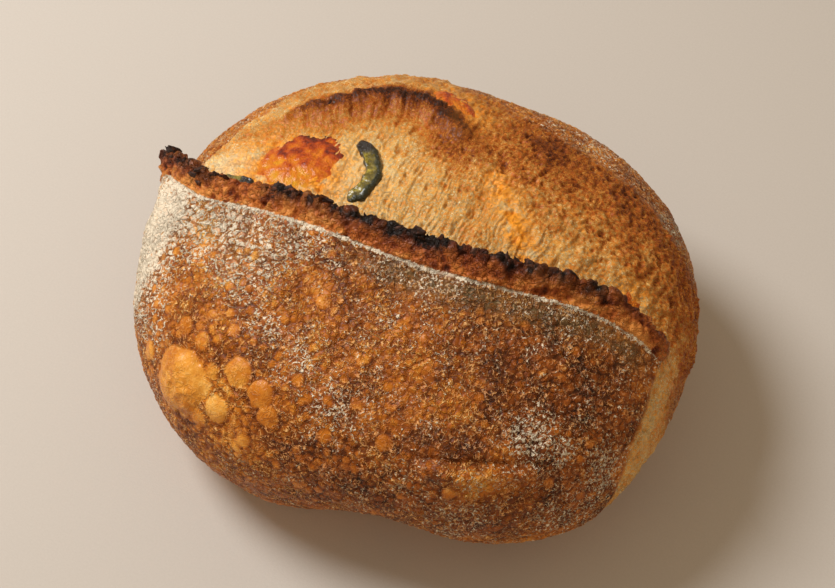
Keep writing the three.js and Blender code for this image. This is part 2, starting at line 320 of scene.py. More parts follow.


# ---- where the loaf is torn, floured and burnt, with painted shade and light ------------------------

# lambda, then phi or a share
CRUMB_BACK_LINE = [(-72, 194), (-60, 222), (-49, 238), (-30, 246), (-15, 247), (0, 243), (10, 239),
                   (20, 237), (40, 239), (60, 242), (75, 250)]
CHAR_ALONG = [(-80, 0.7), (-62, 0.75), (-56, 0.15), (-49, 0.15), (-44, 0.9), (-36, 0.7), (-28, 1),
              (14, 1.05), (26, 0.5), (34, 0.9), (46, 0.8), (56, 0.8), (62, 0.4), (72, 0.15)]
RIDGE_CHAR = [(-56, 0), (-48, 0.6), (-40, 0.9), (-10, 1.1), (-3, 0.7), (4, 0)]
# lambda, phi, radius in mm, strength
FLOUR_SPOTS = [(-68, 148, 15, 0.8), (-52, 154, 13, 0.52), (-32, 156, 10, 0.26), (-40, 143, 14, 0.36),
               (-64, 112, 14, 0.7), (-72, 130, 21, 0.9), (-50, 108, 8, 0.4), (46, 122, 8, 0.36),
               (53, 119, 5, 0.3), (62, 111, 7, 0.36), (-25, 127, 6, 0.3), (0, 117, 8, 0.16),
               (-12, 122, 10, 0.16), (30, 92, 18, 0.12), (55, 92, 14, 0.16), (52, 243, 12, 0.22),
               (24, 248, 16, 0.16)]
BAKE_SPOTS = [(33, 109, 8, -0.2), (38, 109, 6, -0.14), (-55, 147, 8, -0.25), (-46, 133, 7, -0.18),
              (-30, 106, 22, -0.16), (24, 117, 5, 0.26), (32, 117, 6, 0.26), (60, 136, 18, 0.12),
              (55, 110, 22, 0.08), (37, 96, 16, 0.08), (40, 146, 26, 0.08), (-10, 140, 22, 0.03),
              (-20, 100, 10, -0.06), (-72, 128, 26, -0.3), (-60, 100, 20, -0.1)]
CRUMB_SPOTS = [(22, 228, 9, 0.2), (33, 224, 7, 0.12), (44, 228, 12, 0.08), (72, 212, 16, 0.03),
               (-6, 214, 9, 0.06), (8, 216, 8, 0.08)]
CHEESE_STAINS = [(-51, 185, 19, 1.0), (-42, 181, 10, 0.8), (-8, 229, 12, 0.8), (17, 208, 4, 0.7),
                 (21, 203, 5, 1), (27, 198, 5, 1), (32, 192, 5, 1), (37, 186, 5, 1), (42, 180, 5, 0.8),
                 (63, 193, 7, 0.9), (-20, 187, 8, 0.25), (-41, 190, 12, 0.6)]
# lambda, phi, radius, height
BLISTERS = [(-24, 115, 5.4, 1.7), (-17, 113, 4.9, 1.7), (-25, 105, 5.2, 1.6), (-42, 118, 3.6, 1.1),
            (-36, 117, 3.6, 1.1), (-17, 101, 3.2, 0.9), (15, 113, 3.2, 1.1), (1, 110, 2.9, 0.8),
            (-29, 100, 4.2, 1.2), (-31, 123, 2.6, 0.7), (-10, 119, 2.6, 0.7), (-48, 103, 4.2, 1.1),
            (-13, 109, 4.2, 1.2), (-30, 112, 3.2, 0.9), (-30, 108, 3.6, 1.0), (-3, 103, 2.2, 0.6),
            (0, 102, 2.2, 0.6), (50, 109, 2.2, 0.6), (57, 101, 2.2, 0.6), (30, 106, 2.6, 0.8)]
BIG_BLISTER = (-36, 105, 12.5, 3.4)
BARE_PATCH = (-28, 107, 26)  # lambda, phi, radius of the less floured part around the blisters
SMALL_BLISTERS = 300
BAND_REACH = 4.5  # the ear's bare band ends this far in front of the cut
CREASE_PHI = 111.5
CREASE_GIRTH = 85.0
FOOT_HEIGHT = 24.0


def near(form, lam, phi, radius):
    """1 at a spot on the loaf and fading to 0 around it, for spots of that radius in mm."""
    return np.exp(-((form.skin - spot_point(lam, phi)) ** 2).sum(-1) / radius ** 2)


def spots(form, rows):
    """Sum of soft spots, each a row of lambda, phi, radius in mm and strength."""
    return sum(strength * near(form, lam, phi, radius) for lam, phi, radius, strength in rows)


def small_blisters():
    """lambda, phi, radius and height of scattered blisters, half of them crowded around the big one."""
    for _ in range(SMALL_BLISTERS):
        if random.random() < 0.5:
            lam = random.normal(-22, 22)
            phi = random.normal(108, 12)
        else:
            lam = random.uniform(-72, 62)
            phi = random.uniform(72, 158)
        radius = random.uniform(0.8, 2.0)
        yield lam, phi, radius, radius * 0.34


def blisters(form):
    """Relief of all blisters, and shares from 0 to 1 of their tops and of the rims around them, where
    painted shade goes.
    """
    wobble = 1 + 0.2 * form.layer(6, 2, 31)
    relief = np.zeros(form.lam.shape)
    rim = np.zeros(form.lam.shape)
    for lam, phi, radius, height in [BIG_BLISTER, *BLISTERS, *small_blisters()]:
        reach = 2.6 * math.degrees(radius / 60) / math.cos(math.radians(lam))
        rings = np.abs(form.lam[:, 0] - lam) < reach
        away = form.skin[rings] - spot_point(lam, phi)
        distance = np.sqrt((away ** 2).sum(-1)) * wobble[rings] / radius
        dome = height * np.clip(1 - distance ** 2, 0, 1) ** 0.62
        relief[rings] = np.maximum(relief[rings], dome)
        rim[rings] = np.maximum(rim[rings], np.exp(-((distance - 1.12) / 0.16) ** 2))
    lam, phi, radius, _ = BIG_BLISTER
    relief += 0.9 * form.layer(5.5, 2, 33, True) * near(form, lam, phi, radius * 0.75)
    top = np.clip(relief / 0.7, 0, 1)
    return relief, top, rim * (1 - top)


def zones(form):
    """Shares from 0 to 1 of torn crumb, of the ear's bare band, of its crest and of the ear at all."""
    lam, phi, behind = form.lam, form.phi, form.behind
    to_crust = np.radians(curve_through(CRUMB_BACK_LINE, lam) - phi) * form.girth
    in_front = smoothstep(-1.5, 2.5, to_crust + 3 * form.layer(14, 3, 51))
    behind_cut = smoothstep(3.0, 4.5, behind) * in_front * smoothstep(-74, -68, lam)
    past_edge = (lam - form.flap_edge) * 1.3 + 0.8 * form.layer(9, 2, 53)
    above_foot = smoothstep(45, 78, phi + 9 * form.layer(10, 3, 54)) * np.where(phi < 180, 1, 0)
    beside_flap = smoothstep(0, 2.5, past_edge) * above_foot
    far_end = smoothstep(70, 76, lam) * smoothstep(178, 182, phi) * in_front
    tip = smoothstep(82, 88, lam + 2 * form.layer(8, 3, 56))
    torn = np.clip(behind_cut + beside_flap + far_end, 0, 1) * (1 - tip)
    ear = np.clip(form.ear / 0.6, 0, 1)
    from_rim = smoothstep(-BAND_REACH - 0.5, -BAND_REACH + 0.3, behind + 0.5 * form.layer(4, 2, 55))
    band = from_rim * (1 - smoothstep(4.5, 7, behind)) * ear
    crest = np.exp(-((behind - 0.8) / 2.6) ** 2) * ear
    return torn, band, crest, ear


def crease(form):
    """Relief of a crease low on the flap, with a lip under it."""
    line = CREASE_PHI + 2.5 * np.sin(np.radians(form.lam - 22) * 4)
    above = np.radians(form.phi - line) * CREASE_GIRTH
    span = smoothstep(18, 27, form.lam) * (1 - smoothstep(44, 54, form.lam))
    lip = 1.9 * np.exp(-((above + 3.4) / 3) ** 2)
    groove = 1.3 * np.exp(-((above - 0.8) / 1.3) ** 2)
    return span * (lip - groove)


def floured_skin(form, foot):
    """Relief and baking of the skin with painted shade in its pebble gaps and painted light on the pebbles,
    the gaps between its pebbles and the tops of its blisters.
    """
    flat = form.skin.reshape(-1, 3)
    nearest, second, _ = cells(flat + 0.9 * noise(flat, 5, 2, 9)[:, None], 3.0, 2)
    pebble = 1 - nearest.reshape(form.lam.shape) ** 2
    gap = 1 - smoothstep(0.03, 0.26, (second - nearest).reshape(form.lam.shape))
    curl = form.layer(2.6, 2, 23, True)
    blister, top, rim = blisters(form)
    swell = 0.9 * form.layer(42, 2, 1) + 0.6 * form.layer(15, 3, 2) + 0.45 * form.layer(6, 2, 4)
    pebbles = 0.35 * pebble - 0.3 * gap + 0.3 * curl + 0.1 * form.layer(1.6, 2, 21)
    relief = swell + blister + (1 - top) * pebbles + crease(form)
    bake_and_shading = 0.52 + 0.15 * form.layer(38, 2, 41) + 0.2 * form.layer(13, 3, 43) + 0.15 * form.layer(4.5, 3, 45)
    # the rims darken: painted shade round the base of each blister
    bake_and_shading = bake_and_shading + spots(form, BAKE_SPOTS) - 0.12 * top + 0.12 * rim
    # painted shade: darker in the gaps between pebbles; painted light: lighter on the pebbles and curls
    bake_and_shading = bake_and_shading + (1 - top) * (0.14 * gap - 0.06 * pebble - 0.06 * curl)
    bake_and_shading = bake_and_shading - 0.1 * smoothstep(190, 215, form.phi) - 0.27 * foot
    return relief, bake_and_shading, gap, top


def strands(form):
    """Relief of threads that run from the ear to the back, in two sizes."""
    sway = 2.6 * form.layer(13, 2, 61)
    drawn = np.stack([form.skin[..., 0] + sway, form.behind * 0.16, form.skin[..., 2] * 0.16], -1)
    drawn = drawn.reshape(-1, 3)
    threads = noise(drawn, 1.9, 3, 62, True) + noise(drawn, 7, 2, 64, True)
    return 0.8 * threads.reshape(form.lam.shape)


def burst_cells(form):
    """1 in the middle of an open cell and 0 outside."""
    away, _, pick = cells(form.skin.reshape(-1, 3), 5.5, 8)
    return (smoothstep(0.42, 0.2, away) * (pick > 0.45)).reshape(form.lam.shape)


def torn_crumb(form, torn):
    """Relief and baking of the crumb, with painted light on its raised parts and painted shade in its
    hollows, and how much melted cheese stains it.
    """
    lam, phi, behind_ridge = form.lam, form.phi, form.behind_ridge
    clumps = form.layer(8, 3, 66)
    fine = form.layer(2.1, 2, 67, True)
    coarse = smoothstep(-22, 18, lam) * smoothstep(186, 214, phi)
    coarse = np.clip(coarse + smoothstep(-52, -68, lam) * 0.6 + 0.25 * clumps, 0, 1)
    ragged = form.layer(3.4, 3, 68, True) + 0.6 * form.layer(8, 2, 69, True)
    relief = strands(form) * (1 - 0.4 * coarse) + 0.8 * clumps + 0.36 * fine
    relief = relief - 0.8 * burst_cells(form) * (1 - 0.6 * coarse) + 1.25 * coarse * ragged
    ridge_crest = np.exp(-(behind_ridge / 3.0) ** 2) * curve_through(RIDGE_HEIGHT, lam) / RIDGE_TOP
    relief = relief + 1.8 * ridge_crest * form.layer(5, 3, 70, True)

    browned = smoothstep(-24, 12, lam) * smoothstep(187, 214, phi + 6 * form.layer(12, 3, 92))
    bake_and_shading = 0.235 + 0.13 * form.layer(16, 3, 91) + 0.1 * form.layer(4, 2, 93) + 0.38 * browned
    bake_and_shading = bake_and_shading + smoothstep(-16, 26, lam) * (0.12 + 0.1 * clumps)
    bake_and_shading = bake_and_shading + spots(form, CRUMB_SPOTS) + 0.24 * smoothstep(75, 87, lam)
    bake_and_shading = bake_and_shading - 0.07 * smoothstep(50, 72, lam) * (1 - smoothstep(190, 205, phi))
    bake_and_shading = bake_and_shading - 0.1 * smoothstep(-42, -60, lam) + 0.12 * smoothstep(2, 8, behind_ridge)
    # painted light and shade: raised crumb lighter, hollows darker
    bake_and_shading = bake_and_shading - np.clip(relief - 0.3, -1.2, 1.0) * (0.15 * coarse + 0.04)
    bake_and_shading = bake_and_shading - fine * (0.14 * coarse + 0.06)

    ridge_face = smoothstep(-18, -3, behind_ridge) * (1 - 0.8 * smoothstep(1, 6, behind_ridge))
    ridge_char = curve_through(RIDGE_CHAR, lam)
    ridge_crack = np.exp(-((behind_ridge + 1.5 * form.layer(5, 3, 71)) / 1.5) ** 2)
    stain = np.clip(spots(form, CHEESE_STAINS), 0, 1) * torn * (1 - 0.9 * ridge_face * ridge_char)
    bake_and_shading = bake_and_shading * (1 - 0.6 * stain)
    bake_and_shading = bake_and_shading + (0.33 - 0.3 * smoothstep(-6, 14, lam)) * ridge_face
    bake_and_shading = bake_and_shading + (0.16 * ridge_crest + 0.34 * ridge_crack) * ridge_char
    return relief, bake_and_shading, stain


def bare_band(form):
    """Relief and baking of the ear's band and crest, where the crust tore open, with painted shade in its
    pits and painted light on its raised parts.
    """
    raised = form.point.reshape(-1, 3)
    away, _, pick = cells(raised + 1.6 * noise(raised, 4, 2, 87)[:, None], 4.6, 6)
    pits = (smoothstep(0.5, 0.2, away) * smoothstep(0.5, 0.9, pick)).reshape(form.lam.shape)
    nicks = np.exp(-((form.behind - 0.8) / 2.2) ** 2) * form.raised_layer(2.4, 2, 85, True)
    relief = 1.3 * form.raised_layer(4.2, 3, 81, True) + 1.3 * form.raised_layer(8, 3, 83)
    relief = relief - 1.1 * pits + 0.7 * nicks
    middle = smoothstep(-30, -10, form.lam) * (1 - smoothstep(34, 46, form.lam))
    bake_and_shading = 0.2 + 0.28 * form.raised_layer(3, 3, 95) + 0.26 * form.raised_layer(9, 2, 97) + 0.2 * middle
    # painted shade: darker in the pits; painted light: lighter where the band is raised
    bake_and_shading = bake_and_shading + 0.3 * pits - 0.14 * relief + 0.36 * smoothstep(-4.5, 1.0, form.behind)
    return relief, bake_and_shading


def flour_ash_and_painted_light(form, gap, unfloured, ear):
    """Floured spots, with a painted highlight as a bright line along the ear, the ashen grey behind that
    line, and painted shade as grey in the gaps of floured pebbles.
    """
    flour_and_highlight = 0.1 + 0.15 * form.layer(18, 3, 101) + 0.13 * form.layer(6, 2, 103) + spots(form, FLOUR_SPOTS)
    # painted shade: grey in the gaps between floured pebbles, with less flour there
    floured_gap_shade = smoothstep(0.3, 0.55, flour_and_highlight) * gap
    ash_line = np.exp(-((form.behind + 9.5) / 4.6) ** 2)
    ash_line = ash_line * smoothstep(-22, 8, form.lam) * (1 - smoothstep(66, 74, form.lam))
    rim_highlight = np.exp(-((form.behind + 5.0) / 0.8) ** 2) * ear
    flour_and_highlight = flour_and_highlight - 0.16 * near(form, *BARE_PATCH) - unfloured - 0.4 * floured_gap_shade
    # painted highlight: a thin bright line of flour along the ear's rim
    flour_and_highlight = flour_and_highlight + 0.08 * ash_line + 0.5 * rim_highlight
    ash_and_shade = ash_line * (1 + 0.3 * form.layer(6, 2, 105)) + 0.6 * floured_gap_shade * (form.lam < 0)
    return np.clip(flour_and_highlight, 0, 1), np.clip(ash_and_shade, 0, 1)


def loaf_maps(form):
    """The fine relief in mm, and the maps that the crust is painted from. Baking, with painted shade and
    light mixed in, is 0 pale to 1 black.
    """
    torn, band, crest, ear = zones(form)
    skin = (1 - torn) * (1 - band)
    foot = 1 - smoothstep(6, FOOT_HEIGHT, form.skin[..., 2] + 3 * form.layer(20, 2, 47))
    skin_relief, skin_bake_and_shading, gap, blister_top = floured_skin(form, foot)
    crumb_relief, crumb_bake_and_shading, stain = torn_crumb(form, torn)
    band_relief, band_bake_and_shading = bare_band(form)
    relief = skin_relief * skin + crumb_relief * torn + band_relief * band
    relief *= smoothstep(0, 7, form.skin[..., 2])
    bake_and_shading = skin_bake_and_shading * (1 - torn) + crumb_bake_and_shading * torn
    bake_and_shading = bake_and_shading * (1 - band) + band_bake_and_shading * band
    charring = 1.1 + 1.2 * form.raised_layer(4.5, 3, 99)
    burnt = crest * curve_through(CHAR_ALONG, form.lam) * charring - 0.1
    flour_and_highlight, ash_and_shade = flour_ash_and_painted_light(form, gap, 0.5 * blister_top + 0.12 * foot, ear)
    maps = {"bake_and_shading": np.clip(bake_and_shading, 0, 1), "flour_and_highlight": flour_and_highlight * skin, "ash_and_shade": ash_and_shade * skin, "torn": torn,
            "band": band, "burnt": np.clip(burnt, 0, 1), "stain": stain,
            "smooth": np.maximum(blister_top, 0.8 * foot)}
    return relief, maps


# ---- meshes -----------------------------------------------------------------------------------------

def make_object(name, points, faces, maps=None, uv=None):
    """A smooth-shaded mesh object from points in mm in the form's frame and blocks of faces."""
    mesh = bpy.data.meshes.new(name)
    points = (np.asarray(points, float) + FRAME_SHIFT) * MM
    mesh.vertices.add(len(points))
    mesh.vertices.foreach_set("co", points.astype(np.float32).ravel())
    counts = np.concatenate([np.full(len(block), block.shape[1], np.int32) for block in faces])
    starts = np.concatenate([[0], np.cumsum(counts)[:-1]])
    loops = np.concatenate([np.asarray(block, np.int32).ravel() for block in faces])
    mesh.loops.add(len(loops))
    mesh.loops.foreach_set("vertex_index", loops)
    mesh.polygons.add(len(counts))
    mesh.polygons.foreach_set("loop_start", starts.astype(np.int32))
    mesh.polygons.foreach_set("use_smooth", np.ones(len(counts), bool))
    mesh.update(calc_edges=True)
    mesh.validate()
    for key, values in (maps or {}).items():
        attribute = mesh.attributes.new(key, "FLOAT", "POINT")
        attribute.data.foreach_set("value", np.asarray(values, np.float32).ravel())
    if uv is not None:
        layer = mesh.uv_layers.new(name="OFBake")
        layer.data.foreach_set("uv", uv.astype(np.float32).ravel())
    thing = bpy.data.objects.new(name, mesh)
    bpy.context.scene.collection.objects.link(thing)
    return thing


def ring_faces(rings, size):
    """Quads of stacked closed rings, and the fans to their tips, which are the last two points."""
    ring, spot = np.meshgrid(np.arange(rings - 1), np.arange(size), indexing="ij")
    after = (spot + 1) % size
    quads = np.stack([ring * size + spot, (ring + 1) * size + spot, (ring + 1) * size + after,
                      ring * size + after], -1).reshape(-1, 4)
    spot = np.arange(size)
    after = (spot + 1) % size
    first, last = rings * size, rings * size + 1
    start = np.stack([np.full(size, first), spot, after], 1)
    base = (rings - 1) * size
    end = np.stack([np.full(size, last), base + after, base + spot], 1)
    return quads, np.concatenate([start, end])


def ring_uv(rings, size):
    """Flat coordinates for each corner of ring_faces, with the rings cut open and laid side by side."""
    ring, spot = np.meshgrid(np.arange(1, rings), np.arange(size), indexing="ij")
    quads = np.stack([ring, spot, ring + 1, spot, ring + 1, spot + 1, ring, spot + 1], -1).reshape(-1, 2)
    spot = np.arange(size)
    first, last = 0 * spot, 0 * spot + rings + 1
    start = np.stack([first, spot + 0.5, first + 1, spot, first + 1, spot + 1], -1).reshape(-1, 2)
    end = np.stack([last, spot + 0.5, last - 1, spot + 1, last - 1, spot], -1).reshape(-1, 2)
    return np.concatenate([quads, start, end]) / [rings + 1, size]


def with_tips(array, tips):
    """Values of the rings' points as one list, with the two tips at its end."""
    return np.concatenate([array.reshape(-1, *array.shape[2:]), tips])


def tip_average(array):
    """Values for the two tips: the averages of the first and of the last ring."""
    return np.stack([array[0].mean(0), array[-1].mean(0)])


def make_loaf():
    """The whole loaf but for the fillings and the charred crumbs."""
    lam, phi = grid_angles()
    form = Form(lam, phi)
    relief, maps = loaf_maps(form)
    normals = grid_normals(form.point)
    points = form.point + normals * relief[..., None]
    points[..., 2] = np.maximum(points[..., 2], 0)
    rings, size = lam.shape
    all_points = with_tips(points, tip_average(points))
    all_maps = {key: with_tips(values, tip_average(values)) for key, values in maps.items()}
    return make_object("loaf_crust", all_points, ring_faces(rings, size), all_maps, ring_uv(rings, size))


# ---- materials --------------------------------------------------------------------------------------

class Shader:
    """A short way to write a node material."""

    def __init__(self, name):
        self.material = bpy.data.materials.new(name)
        self.material.use_nodes = True
        self.tree = self.material.node_tree
        self.surface = self.tree.nodes["Principled BSDF"]
        self.place = self.node("ShaderNodeTexCoord").outputs["Object"]

    def node(self, kind, inputs=(), **settings):
        """A node with its settings made and each input linked or given its value."""
        made = self.tree.nodes.new(kind)
        for key, value in settings.items():
            setattr(made, key, value)
        for key, value in dict(inputs).items():
            self.put(made.inputs[key], value)
        return made

    def put(self, socket, value):
        if isinstance(value, bpy.types.NodeSocket):
            self.tree.links.new(value, socket)
        else:
            socket.default_value = value

    def map(self, name):
        """One of the maps that the mesh carries."""
        return self.node("ShaderNodeAttribute", attribute_name=name).outputs["Fac"]

    def math(self, operation, a, b=0.0):
        return self.node("ShaderNodeMath", {0: a, 1: b}, operation=operation).outputs[0]

    def add(self, *terms):
        total = terms[0]
        for term in terms[1:]:
            total = self.math("ADD", total, term)
        return total

    def times(self, a, b):
        return self.math("MULTIPLY", a, b)

    def blend(self, share, a, b):
        return self.node("ShaderNodeMix", {"Factor": share, "A": a, "B": b}).outputs["Result"]

    def noise(self, size, detail=3.0, roughness=0.55, distortion=0.0):
        """Noise from 0 to 1 with features of that size in mm."""
        made = self.node("ShaderNodeTexNoise", {
            "Vector": self.place, "Scale": 1 / (size * MM), "Detail": detail, "Roughness": roughness,
            "Distortion": distortion})
        return made.outputs["Fac"]

    def centred(self, value, strength):
        """Turns 0 to 1 into a swing of that strength around 0."""
        return self.times(self.math("SUBTRACT", value, 0.5), strength)

    def step(self, low, high, value):
        made = self.node("ShaderNodeMapRange", {"Value": value, "From Min": low, "From Max": high},
                         interpolation_type="SMOOTHSTEP")
        return made.outputs["Result"]

    def ramp(self, value, stops):
        """Colour at a value, from (position, colour) stops."""
        made = self.node("ShaderNodeValToRGB", {"Fac": value})
        elements = made.color_ramp.elements
        while len(elements) < len(stops):
            elements.new(0.5)
        for element, (position, colour) in zip(elements, stops):
            element.position = position
            element.color = (*colour, 1)
        return made.outputs["Color"]

    def mix(self, share, a, b):
        """Colour a with a share of colour b laid over it."""
        made = self.node("ShaderNodeMix", data_type="RGBA")
        sockets = [s for s in made.inputs if s.enabled]
        self.put(sockets[0], share)
        self.put(sockets[1], a if isinstance(a, bpy.types.NodeSocket) else (*a, 1))
        self.put(sockets[2], b if isinstance(b, bpy.types.NodeSocket) else (*b, 1))
        return next(s for s in made.outputs if s.enabled)

    def bump(self, height, distance):
        """Fine relief from a height of about 0 to 1, worth that distance in mm."""
        made = self.node("ShaderNodeBump", {"Height": height, "Distance": distance * MM})
        return made.outputs["Normal"]

    def finish(self, colour, roughness, normal, **constants):
        """Fills in the surface, with constants named as its inputs but for underscores."""
        self.put(self.surface.inputs["Base Color"], colour)
        self.put(self.surface.inputs["Roughness"], roughness)
        self.put(self.surface.inputs["Normal"], normal)
        for key, value in constants.items():
            self.surface.inputs[key.replace("_", " ")].default_value = value
        return self.material


# position, colour
CRUST_COLOURS = [(0.0, (0.95, 0.55, 0.14)), (0.2, (0.84, 0.36, 0.050)), (0.4, (0.60, 0.185, 0.016)),
                 (0.58, (0.35, 0.088, 0.009)), (0.78, (0.15, 0.035, 0.005)), (1.0, (0.020, 0.010, 0.007))]
CRUMB_COLOURS = [(0.0, (0.98, 0.78, 0.44)), (0.12, (0.90, 0.58, 0.21)), (0.24, (0.83, 0.43, 0.098)),
                 (0.4, (0.70, 0.26, 0.036)), (0.56, (0.50, 0.125, 0.015)), (0.76, (0.21, 0.045, 0.008)),
                 (1.0, (0.040, 0.014, 0.008))]
BAND_COLOURS = [(0.0, (0.78, 0.30, 0.065)), (0.3, (0.52, 0.14, 0.026)), (0.55, (0.26, 0.052, 0.013)),
                (0.8, (0.075, 0.020, 0.011)), (1.0, (0.020, 0.011, 0.009))]
CHEESE_COLOURS = [(0.1, (0.90, 0.40, 0.018)), (0.42, (0.80, 0.21, 0.007)), (0.66, (0.58, 0.085, 0.005)),
                  (0.8, (0.27, 0.028, 0.005)), (0.95, (0.08, 0.012, 0.006))]
FLESH_COLOURS = [(0.3, (0.045, 0.036, 0.003)), (0.5, (0.19, 0.14, 0.008)), (0.68, (0.46, 0.35, 0.030))]
PEEL_COLOURS = [(0.3, (0.010, 0.012, 0.004)), (0.75, (0.038, 0.040, 0.009))]
CHAR_COLOURS = [(0.4, (0.012, 0.008, 0.007)), (0.62, (0.045, 0.017, 0.010)), (0.8, (0.17, 0.050, 0.018))]
TABLE_COLOURS = [(0.3, (0.585, 0.535, 0.475)), (0.7, (0.61, 0.56, 0.50))]

FLOUR_COLOUR = (0.90, 0.77, 0.58)
# pale colour of the painted highlights on the thin curls and specks
GLINT_COLOUR = (0.95, 0.66, 0.36)
# grey of the ash and of the painted shade in floured gaps
ASH_AND_SHADE_COLOUR = (0.130, 0.086, 0.034)
BURNT_COLOUR = (0.016, 0.010, 0.008)
STAIN_COLOUR = (1.0, 0.37, 0.030)


def crust_material():
    """Baked crust, torn crumb, the ear's bare band, floury dusting, ashen grey and char, as the loaf's maps
    say, with painted shade in the gaps and painted highlights on curls, strands and specks.
    """
    s = Shader("baked_crust")
    bake_and_shading, flour_and_highlight, torn, band = s.map("bake_and_shading"), s.map("flour_and_highlight"), s.map("torn"), s.map("band")
    burnt, ash_and_shade, stain = s.map("burnt"), s.map("ash_and_shade"), s.map("stain")

    # Fine curled ridges on the skin and thin strands on the crumb, which also lay painted shade and painted
    # highlights.
    curls = s.noise(2.0, 2, 0.5, 0.6)
    off_curl = s.math("ABSOLUTE", s.math("SUBTRACT", curls, 0.5))
    curl = s.math("SUBTRACT", 1.0, s.step(0.0, 0.1, off_curl))
    mottle = s.noise(2.6, 4, 0.62)
    speck = s.noise(0.6, 2, 0.6)
    gap = s.step(0.05, 0.13, off_curl)
    off_strand = s.math("ABSOLUTE", s.math("SUBTRACT", s.noise(1.35, 3, 0.55, 0.8), 0.5))
    strand = s.math("SUBTRACT", 1.0, s.step(0.012, 0.045, off_strand))
    level = s.add(bake_and_shading, s.centred(mottle, 0.32), s.centred(speck, 0.12))
    curl_glint = s.math("SUBTRACT", 1.0, s.step(0.012, 0.04, off_curl))
    curl_glint = s.times(curl_glint, s.step(0.38, 0.52, s.noise(3.5, 2)))
    detail = s.math("SUBTRACT", 1.0, s.times(s.map("smooth"), 0.75))
    detail = s.times(detail, s.add(s.times(s.step(0.38, 0.6, s.noise(13, 3)), 0.75), 0.45))
    # painted shade in the gaps between curls, painted highlight along the thin curls
    skin_change = s.add(s.times(gap, 0.16), s.times(curl_glint, -0.24), 0.02)
    skin_level = s.add(level, s.times(skin_change, detail))
    # painted highlight along the crumb's strands, painted shade between them
    between = s.step(0.08, 0.15, off_strand)
    crumb_level = s.add(level, s.times(strand, -0.28), s.times(between, 0.12), 0.01)

    crust = s.ramp(skin_level, CRUST_COLOURS)
    # painted highlight: the thin curls mixed towards a pale glint colour
    crust = s.mix(s.times(s.times(curl_glint, detail), 0.34), crust, GLINT_COLOUR)
    stained = s.times(stain, s.step(0.3, 0.52, s.noise(5, 3)))
    crumb = s.mix(stained, s.ramp(crumb_level, CRUMB_COLOURS), STAIN_COLOUR)
    colour = s.mix(torn, crust, crumb)
    # ashen grey, with painted shade as grey in floured gaps and more of it in the gaps between curls
    colour = s.mix(s.times(ash_and_shade, s.add(s.times(gap, 0.4), 0.46)), colour, ASH_AND_SHADE_COLOUR)
    colour = s.mix(band, colour, s.ramp(level, BAND_COLOURS))

    # Flour lies along the curls in short lines and dots: the more there is, the more and wider they are.
    # Pale painted highlight specks also dot the floured parts.
    present = s.step(0.0, 0.10, s.add(s.noise(1.1, 2), s.times(flour_and_highlight, 0.62), -0.63))
    width = s.add(s.times(flour_and_highlight, 0.10), 0.022)
    dusted = s.math("SUBTRACT", 1.0, s.step(width, s.add(width, 0.02), off_curl))
    covered = s.times(s.times(dusted, present), s.step(0.0, 0.08, flour_and_highlight))
    veil = s.times(s.step(0.3, 0.85, flour_and_highlight), s.step(0.3, 0.55, mottle))
    covered = s.math("MAXIMUM", covered, s.times(veil, 0.8))
    # painted highlight: pale specks on the floured parts
    glint_specks = s.step(0.6, 0.64, s.noise(0.95, 1, 0.4))
    colour = s.mix(s.times(s.times(glint_specks, 0.62), s.step(0.03, 0.3, flour_and_highlight)), colour, GLINT_COLOUR)
    colour = s.mix(covered, colour, FLOUR_COLOUR)
    colour = s.mix(burnt, colour, BURNT_COLOUR)

    smooth = s.map("smooth")
    roughness = s.add(s.times(covered, 0.35), s.times(mottle, 0.36), s.times(smooth, -0.1), 0.2)
    line = s.times(s.blend(torn, curl, strand), 0.7)
    height = s.add(line, s.times(mottle, 0.45), s.times(speck, 0.15), s.times(covered, 0.3))
    height = s.times(s.times(height, detail), s.blend(torn, 1.0, 0.7))
    return s.finish(colour, roughness, s.bump(height, 1.0), Specular_IOR_Level=0.2)


def cheese_material():
    """Melted cheese, browner where it is toasted."""
    s = Shader("baked_cheese")
    shade = s.add(s.times(s.noise(4, 4, 0.65), 0.9), s.centred(s.map("toast"), 0.9), -0.02)
    colour = s.ramp(shade, CHEESE_COLOURS)
    height = s.add(s.noise(1.6, 4, 0.65), s.times(s.noise(0.7, 2), 0.5))
    roughness = s.add(s.times(s.noise(3, 2), 0.3), 0.2)
    return s.finish(colour, roughness, s.bump(height, 1.4), Specular_IOR_Level=0.3, Coat_Weight=0.14,
                    Coat_Roughness=0.1)


def jalapeno_material():
    """Roasted jalapeno: olive flesh, a dark peel and burnt ends."""
    s = Shader("roasted_jalapeno")
    flesh = s.ramp(s.noise(2.2, 4, 0.6), FLESH_COLOURS)
    peel = s.ramp(s.noise(2.5, 3), PEEL_COLOURS)
    colour = s.mix(s.map("peel"), flesh, peel)
    colour = s.mix(s.map("burnt"), colour, BURNT_COLOUR)
    height = s.add(s.noise(1.3, 3), s.times(s.noise(0.5, 2), 0.5))
    roughness = s.add(s.times(s.noise(2, 2), 0.3), 0.14)
    return s.finish(colour, roughness, s.bump(height, 0.7), Specular_IOR_Level=0.4, Coat_Weight=0.5,
                    Coat_Roughness=0.08)


def char_material():
    """Charred crumbs: nearly black, with a little brown."""
    s = Shader("charred_crumbs")
    shade = s.add(s.times(s.noise(1.4, 3, 0.6), 0.7), s.times(s.noise(7, 2), 0.5))
    colour = s.ramp(shade, CHAR_COLOURS)
    return s.finish(colour, 0.55, s.bump(s.noise(0.6, 3), 0.3), Specular_IOR_Level=0.3)


def table_material():
    """A matt, pale table."""
    s = Shader("pale_table")
    colour = s.ramp(s.noise(0.9, 3), TABLE_COLOURS)
    return s.finish(colour, 0.85, s.bump(s.noise(0.7, 3), 0.05), Specular_IOR_Level=0.2)


# ---- fillings ---------------------------------------------------------------------------------------

